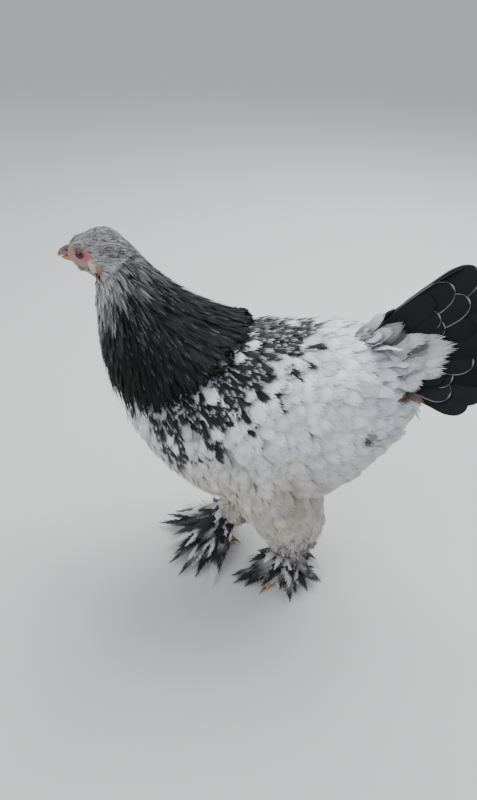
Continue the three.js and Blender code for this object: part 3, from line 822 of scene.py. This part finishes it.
# The cream is partly the feathers' own tint, partly painted shade for the lower body
white, shaded_cream = (0.80, 0.815, 0.84), (0.50, 0.445, 0.37)
pale_edge, silver, off_white = (0.66, 0.66, 0.67), (0.62, 0.62, 0.62), (0.62, 0.61, 0.59)
saddle_white, covert_white = (0.70, 0.71, 0.73), (0.58, 0.585, 0.60)
grey, pale_grey, sooty = (0.28, 0.275, 0.27), (0.42, 0.41, 0.40), (0.13, 0.125, 0.12)
brown, black = (0.09, 0.065, 0.05), (0.009, 0.009, 0.012)
soft_paint = plumage_paint("white plumage", 0.85, 0.25, 0.25)
dark_paint = plumage_paint("black plumage", 0.5, 0.01, 0.14)


def away_from(centre):
    """A flow of feathers that point away from a place."""
    return lambda p: p - np.array(centre)


def in_rows(count, across):
    """Places for feathers side by side in rows of an unwrap."""
    number = np.arange(count)
    return np.stack([(number % across + 0.5) / across, (number // across + 0.5) / across], 1)


def hull_place(spots_mm):
    """Each root's place on an unwrap of the body: along it, and round its middle line."""
    u = (spots_mm[:, 0] + 150) / 400
    v = (np.arctan2(spots_mm[:, 1], spots_mm[:, 2] - 250) / (2 * math.pi)) + 0.5
    return np.clip(np.stack([u, v], 1), 0.01, 0.99)


# Hackle: long black feathers with pale edges, rooted on the neck in rings
hackle_end = 0.76


def hackle_width(s):
    return 2.8 + 11.5 * s


hackle_s, hackle_turn = [], []
s = 0.0
while s < hackle_end:
    depth = [float(back(s) - front(s)) for front, back in zip(hackle_front, hackle_back)]
    reach = math.hypot(*depth) / 2
    around = 2 * math.pi * math.sqrt((float(hackle_half(s)) ** 2 + reach ** 2) / 2)
    each = int(around / (hackle_width(s) * 0.62))
    offset = chance.random()
    hackle_s += list(s + chance.normal(0, 0.01, each))
    hackle_turn += list(2 * math.pi * (np.arange(each) + offset) / each + chance.normal(0, 0.03, each))
    s += 0.014 + 0.026 * s
hackle_s, hackle_turn = np.clip(hackle_s, -0.02, 1), np.array(hackle_turn)
to_breast = np.clip(0.25 - np.cos(hackle_turn), 0, 1)
kept = hackle_s < hackle_end - 0.17 * to_breast
hackle_s, hackle_turn, to_breast = hackle_s[kept], hackle_turn[kept], to_breast[kept]
roots = placed(hackle_form(whole)(hackle_s, hackle_turn))
home = (roots - shift) / mm
count = len(home)
down_neck = np.clip(hackle_s, 0, 1)
ahead = to_breast * np.clip((hackle_s - 0.25) / 0.3, 0, 1)
length = (13 + 76 * down_neck ** 0.75 - 14 * ahead + chance.normal(0, 2.0 + 8 * hackle_s, count)) * mm
lifts = np.stack([-(0.0015 + 0.011 * np.abs(hackle_s)), chance.uniform(-0.001, 0.002, count)], 1)
rows, facing = laid(upper_tree, roots, length, away_from([-140, 0, 452]), lifts, 0.35, 7, 0.07)
front = np.clip((-home[:, 0] - 112) / 26, 0, 1)
tone = front * (1.0 - hackle_s * 2.4) + (1 - hackle_s * 4) * 0.62 + chance.normal(0, 0.2, count)
tone = np.where(hackle_s > 0.42, 0, np.clip(tone, 0.0, 1))
base = 0.010 + 0.52 * tone[:, None] ** 1.6 * np.array([1.0, 0.99, 1.0])
streak = chosen_between(base * 0.3, base, chance.random(count) < 0.55)
rim = chance.uniform(0.16, 0.50, count) * np.clip(1.15 - hackle_s * 1.2, 0.38, 1)
rimmed = chance.random(count) < 0.75 - 0.45 * np.clip(hackle_s * 2, 0, 1)
edge = np.maximum(base, np.where(rimmed, rim, 0)[:, None])
neck_place = np.stack([down_neck * 0.9 + 0.05, hackle_turn / (2 * math.pi) * 0.98 + 0.01], 1)
plumage("hackle", "lance", rows, facing, hackle_width(down_neck) * mm,
        paint_by(base, None, edge, 0.76, streak), neck_place, dark_paint)
cape_tips = (rows[hackle_s > 0.45, -1] - shift) / mm

# Body coat: breast, back, flanks and wings, with black mantle feathers below the cape
def body_flow(p):
    if p[2] < 150 and -40 < p[0] < 130:
        return np.array([0.15, 0, -1.0])
    return p - np.array([-190, 0, 455])


def under_cape(p):
    return (p[:, 2] > 312) & (p[:, 0] < -62)


coat_spacing = 0.0062
roots = scattered(body_guide, coat_spacing, lambda p: ~under_cape(p) & (p[:, 2] > 150), 3)
home = (roots - shift) / mm
count = len(home)
length = (30 + 12 * np.clip((home[:, 0] + 120) / 250, 0, 1) + chance.normal(0, 2.5, count)) * mm
lifts = np.stack([np.full(count, -0.006), chance.uniform(0.0005, 0.0055, count)], 1)
rows, facing = laid(body_tree, roots, length, body_flow, lifts, 0.25)
from_cape = np.array([np.sqrt(((cape_tips - p) ** 2).sum(1).min()) for p in home])
# Lower on the body the feathers turn a darker cream: partly their own tint, partly painted shade under the
# body
low_body = np.clip((315 - home[:, 2]) / 120, 0, 1)[:, None]
base = varied(white, count, 0.11) * (1 - low_body * 0.9) + varied(shaded_cream, count, 0.14) * low_body * 0.9
# Painted shade in patches: some feathers darker and a little browner
shade = 1 - 0.4 * np.clip(waves(home, 17, 9), 0, 1) * chance.random(count)
base = base * shade[:, None] ** np.array([0.9, 1.0, 1.15])
on_side = (np.abs(home[:, 1]) > 50) & (home[:, 2] > 235) & (home[:, 0] < 45)
smudge = on_side & (waves(home, 11, 12) > 0.42)
smudged = varied(pale_grey, count, 0.3)
smudge = (smudge & (chance.random(count) < 0.6)) | (chance.random(count) < 0.015)
base = chosen_between(smudged, base, smudge)
mantle_share = np.clip(1.12 - from_cape / 52, 0, 1) ** 1.1 * (0.78 + 0.45 * waves(home, 13, 3))
mantle_share = mantle_share * np.where(home[:, 0] < -78, 0.12, 1.25)
in_mantle = chance.random(count) < mantle_share
plain = ~in_mantle
plumage("body_coat", "contour", rows[plain], facing[plain],
        ((16 + chance.normal(0, 1.5, count)) * mm * (0.8 + length / 0.12))[plain],
        paint_by(base[plain], base[plain] * 1.04), hull_place(home[plain]), soft_paint)
count = int(in_mantle.sum())
base = varied(black, count, 0.3)
edge = varied(pale_edge, count, 0.12)
above = facing[in_mantle] * 0.0012
plumage("mantle_feathers", "lance", rows[in_mantle] + above, facing[in_mantle],
        (12.5 + chance.normal(0, 1.5, count)) * mm,
        paint_by(base, None, edge, 0.70), hull_place(home[in_mantle]), soft_paint)

# Fluff: thighs, belly and rump
def low_or_behind(p):
    return (p[:, 2] <= 158) | ((p[:, 0] > 165) & (p[:, 2] < 330))


roots = scattered(body_guide, coat_spacing, low_or_behind, 5)
home = (roots - shift) / mm
count = len(home)
length = (26 + 15 * np.clip((115 - home[:, 2]) / 50, 0, 1) + chance.normal(0, 4, count)) * mm
lifts = np.stack([np.full(count, -0.006), chance.uniform(0.000, 0.005, count)], 1)
rows, facing = laid(body_tree, roots, length, body_flow, lifts, 0.3, 5, 0.2)
# Thighs and belly mostly the darker cream, partly painted shade low under the body; the rump less so
shaded_cream_share = np.where(home[:, 0] > 130, 0.35, 0.85)[:, None]
base = varied(white, count, 0.1) * (1 - shaded_cream_share) + varied(shaded_cream, count, 0.12) * shaded_cream_share
hock = (home[:, 2] < 130) & (home[:, 0] > 70) & (home[:, 1] < -40)
dark = chance.random(count) < 0.04 + 0.45 * hock
base = chosen_between(varied(sooty, count, 0.4), base, dark)
plumage("thigh_and_rump_fluff", "down", rows, facing, (17 + chance.normal(0, 2, count)) * mm,
        paint_by(base, base * 1.05), hull_place(home), soft_paint)

# Saddle: soft feathers that run out from the back over the root of the tail
def saddle_flow(p):
    return np.array([1.0, 0, 0.25]) + 0.004 * (p - np.array([150, 0, 330]))


roots = scattered(body_guide, 0.0085, lambda p: (p[:, 0] > 118) & (p[:, 2] > 262), 11)
home = (roots - shift) / mm
count = len(home)
length = (40 + chance.normal(0, 5, count)) * mm
lifts = np.stack([np.full(count, -0.006), chance.uniform(0.001, 0.005, count)], 1)
rows, facing = laid(body_tree, roots, length, saddle_flow, lifts, 0.85, 5, 0.2)
base = varied(saddle_white, count, 0.14)
base = chosen_between(varied(grey, count, 0.4), base, chance.random(count) < 0.12)
plumage("saddle_fluff", "covert", rows, facing, (15 + chance.normal(0, 2, count)) * mm,
        paint_by(base, base * 1.05), hull_place(home), soft_paint)

# Head feathers: short, and leaving the face bare
# Each bare zone, from the eye to the lobe: its centre and half sizes
bare_zones = [
    ((1, 14, -4), (10.5, 9, 10.5)),
    ((-9, 10, -9), (9, 9, 8)),
    ((-10, 10, 1), (7, 9, 5)),
    ((14, 17, -14), (6, 6, 7.5)),
    ((19, 17, -25), (6, 6, 7)),
]


def bare_face(q):
    bare = (q[:, 0] < -15) & (q[:, 2] < 3)
    for centre, size in bare_zones:
        bare = bare | (near(folded(q), centre, size) < 1)
    return bare


roots = scattered(head, 0.00135, lambda p: ~bare_face(in_head(p * mm + shift)), 7)
home = (roots - shift) / mm
spot = in_head(roots)
count = len(home)
back = np.clip(spot[:, 0] + 15, 0, 60)
by_lobe = near(folded(spot), (13, 16, -25), (9, 9, 7)) < 1
length = (4.6 + 0.2 * back + chance.normal(0, 0.6, count)) * mm * np.where(by_lobe, 0.35, 1)
lifts = np.stack([np.full(count, -0.0002), chance.uniform(0.0005, 0.0013, count)], 1)
rows, facing = laid(upper_tree, roots, length, away_from([-186, 0, 441]), lifts, 0.3, 4, 0.13)
behind = np.clip((spot[:, 0] - 2) / 36, 0, 1) * np.clip((spot[:, 2] + 12) / 12, 0.15, 1)
drop = chance.random(count) ** (2.6 - 2.15 * behind)
base = (0.56 * (1 - 0.88 * drop))[:, None] * np.array([1.0, 0.985, 0.965])
around_head = np.stack([(spot[:, 0] + 25) / 80, np.arctan2(spot[:, 1], spot[:, 2]) / 6.2832 + 0.5], 1)
plumage("head_feathers", "small", rows, facing, (1.35 + 0.03 * back) * mm,
        paint_by(base * 0.9, base * 1.1), np.clip(around_head, 0.01, 0.99), soft_paint)


# Tail: two webs of feathers that meet along the top like a tent
def fan_place(side, t, share):
    """The end of a feather at t, from 0 at the top of a web to 1 at its lower edge."""
    angle = np.radians(48 - 52 * t)
    reach = (132 + 34 * t - 72 * t * t) * share
    out = side * (6 + 68 * np.maximum(t, 0) ** 0.85) * share
    return tail_root + np.stack([reach * np.cos(angle), out, reach * np.sin(angle) - 12 * t * share], -1)


tail_axis = np.array([math.cos(tail_pitch), 0, math.sin(tail_pitch)])
tail_up = np.array([-tail_axis[2], 0, tail_axis[0]])


def tail_rows(side, t, share, rise, steps=9):
    """Rows of one web's feathers and the way that they face."""
    tip = fan_place(side, t, share)
    ahead = fan_place(side, np.minimum(t + 0.08, 1), share) - fan_place(side, np.maximum(t - 0.08, 0), share)
    out = np.array([0, 1, 0]) * (side * (3 + 12 * t))[:, None]
    root = tail_root + tail_axis * 4 + tail_up * (4 - 24 * t)[:, None] + out
    face = unit(np.cross(tip - root, ahead))
    face = face * np.sign(face[:, 1] * side)[:, None]
    v = np.linspace(0, 1, steps)[None, :, None]
    bow = 5 * np.sin(math.pi * v * share[:, None, None])
    lift = rise * np.clip(v * 2.5, 0, 1) + bow - (t * 7)[:, None, None]
    rows = root[:, None] * (1 - v) + tip[:, None] * v + face[:, None] * lift
    return placed(rows), np.repeat(face[:, None], steps, 1)


# Each set: name, pattern, feathers a side, first and last place in the web, reach, rise and width
tail_sets = [
    ("tail_feathers", "vane", 8, 0, 1.0, 1.0, 0.0, 34),
    ("long_tail_coverts", "vane", 7, 0, 1.0, 0.78, 3.0, 30),
    ("middle_tail_coverts", "vane", 8, 0, 1.0, 0.62, 6.0, 25),
    ("white_tail_coverts", "covert", 14, 0.40, 1.12, 0.58, 9.0, 24),
    ("short_tail_coverts", "covert", 16, 0.34, 1.2, 0.46, 12.0, 21),
    ("tail_root_coverts", "covert", 20, 0.0, 1.2, 0.33, 14.0, 15),
    ("vent_feathers", "covert", 4, 1.12, 1.3, 0.66, 0.0, 14),
]
for name, kind, each, first, last, share, rise, wide in tail_sets:
    t = np.tile(np.linspace(first, last, each), 2) + chance.normal(0, 0.015, each * 2)
    t = np.clip(t, 0, 1.3)
    reach = share * (1 + chance.normal(0, 0.012 if name == "tail_feathers" else 0.06, each * 2))
    webs = [tail_rows(-1.0, t[:each], reach[:each], rise), tail_rows(1.0, t[each:], reach[each:], rise)]
    rows, facing = (np.concatenate(halves) for halves in zip(*webs))
    count = len(t)
    pale = kind == "covert"
    base = varied(covert_white if pale else black, count, 0.14)
    if pale:
        greyed = varied(grey, count, 0.4)
        base = chosen_between(greyed, base, chance.random(count) < np.where(t < 0.3, 0.6, 0.18))
    if name == "vent_feathers":
        base = varied(brown, count, 0.3)
    edge = varied(silver, count, 0.15)
    edge = chosen_between(edge, base, chance.random(count) < (0.2 if pale else 0.6))
    colours = paint_by(base, None, edge, 0.9)
    if not pale:
        colours = paint_by(base, None, edge, 0.93, tip_at=0.993, outline=round_end)
    plumage(name, kind, rows, facing, (wide * (1 - 0.12 * t)) * mm, colours,
            in_rows(count, 6), soft_paint if pale else dark_paint, 0.10, 0.03)

# Feet: long feathers from the shanks, in layers that end about these tips
foot_layers = 8
foot_tips = {
    "left": [[145, -44, 9], [138, -66, 4], [114, -84, 3], [100, -88, 7], [87, -82, 3], [70, -76, 5],
             [52, -60, 4], [116, -24, 7], [104, -72, 14], [80, -68, 12], [40, -68, 5], [30, -54, 8],
             [56, -84, 6], [46, -48, 12], [20, -60, 3], [26, -71, 3], [33, -30, 4], [30, -78, 3]],
    "right": [[-8, -78, 3], [-26, -72, 5], [-46, -62, 9], [-64, -70, 4], [-80, -58, 7], [-90, -30, 5],
              [-88, 44, 5], [-66, 66, 4], [-38, 78, 5], [-8, 74, 6], [14, 62, 6], [4, -58, 10], [-100, 4, 6],
              [-96, 26, 9], [-70, -46, 12], [-40, -50, 14]],
}
foot_rows, foot_facing, foot_wide = [], [], []
for name, leg in feet.items():
    for tip in foot_tips[name]:
        for layer in range(foot_layers):
            height = 10 + 7 * layer + chance.uniform(-3, 3)
            root = leg["foot"] + (leg["ankle"] - leg["foot"]) * height / leg["ankle"][2]
            end = np.array(tip, float) + chance.normal(0, (5, 5, 1.5))
            end = root + (end - root) * (1.0 - 0.10 * layer)
            end[2] = max(2.5, tip[2] + 4.5 * layer + chance.uniform(-2, 3))
            v = np.linspace(0, 1, 7)[:, None]
            arch = (7 + layer) * np.sin(math.pi * v)
            way = (end - root) * [1, 1, 0]
            foot_rows.append(root * (1 - v) + end * v + np.array([0, 0, 1]) * arch)
            foot_facing.append(np.tile(unit(unit(way) * 0.5 + np.array([0, 0, 1])), (7, 1)))
            foot_wide.append(17 - 0.7 * layer)
count = len(foot_rows)
dark, light = varied(black, count, 0.3), varied(off_white, count, 0.1)
base = chosen_between(dark, light, chance.random(count) < 0.5)
light, dark = varied(off_white, count, 0.1), varied(black, count, 0.3)
tip = chosen_between(light, dark, chance.random(count) < 0.4)
plumage("foot_feathers", "lance", placed(np.array(foot_rows)), np.array(foot_facing),
        np.array(foot_wide) * mm, paint_by(base, tip), in_rows(count, 12), soft_paint, 0.1, 0.04)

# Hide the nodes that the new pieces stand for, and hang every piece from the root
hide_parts("neck", "torso", "wing_left", "wing_right", "thigh_left", "thigh_right")
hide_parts("head")
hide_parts("foot_left", "foot_right")
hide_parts("tail")
for piece, slot in ((skin, "body_plumage"), (head, "face_skin"), (legs_skin, "foot_skin")):
    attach(piece, "root")
for piece in coat:
    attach(piece, "root")
for guide in (body_guide, upper_guide):
    bpy.data.objects.remove(guide, do_unlink=True)

# Floor, light and camera
floor_width, floor_height = 90, -0.0005
sky_colour, sky_strength = (0.80, 0.86, 0.95), 0.85
light_aim = Vector((0, 0, 0.25))
# Each light: its name, place, size, power and colour
lights = [
    ("high soft light", (0.5, 0.9, 1.9), 1.6, 62, (0.95, 0.98, 1.0)),
    ("front soft light", (-1.3, -1.2, 1.3), 1.4, 16, (1.0, 0.98, 0.95)),
]
# The camera: sensor in millimetres, focal length as a share of it, place in metres, turns in degrees
sensor, focal_share = 36, 578 / 800
camera_home = (0.0928, -0.5594, 0.6867)
camera_down, camera_turn = 37, 8

deselect()
bpy.ops.mesh.primitive_plane_add(size=floor_width, location=(0, 0, floor_height))
floor = bpy.context.object
floor.name = "floor"
floor_paint = Paint("pale floor", Roughness=0.9, Base_Color=(*off_white, 1.0))
floor.data.materials.append(floor_paint.material)
world = bpy.data.worlds.new("studio")
world.use_nodes = True
sky = world.node_tree.nodes["Background"].inputs
sky["Color"].default_value = (*sky_colour, 1.0)
sky["Strength"].default_value = sky_strength
bpy.context.scene.world = world
for name, place, size, power, colour in lights:
    light = bpy.data.lights.new(name, "AREA")
    light.size, light.energy, light.color = size, power, colour
    lamp = bpy.data.objects.new(name, light)
    lamp.location = place
    lamp.rotation_euler = (light_aim - Vector(place)).to_track_quat("-Z", "Y").to_euler()
    bpy.context.collection.objects.link(lamp)
view = bpy.data.cameras.new("camera")
view.sensor_fit, view.sensor_height, view.sensor_width = "VERTICAL", sensor, sensor
view.lens = focal_share * sensor
view.clip_start = 0.01
camera = bpy.data.objects.new("camera", view)
camera.location = Vector(camera_home) + Vector(shift)
camera.rotation_euler = (math.radians(90 - camera_down), 0, math.radians(camera_turn))
bpy.context.collection.objects.link(camera)
bpy.context.scene.camera = camera
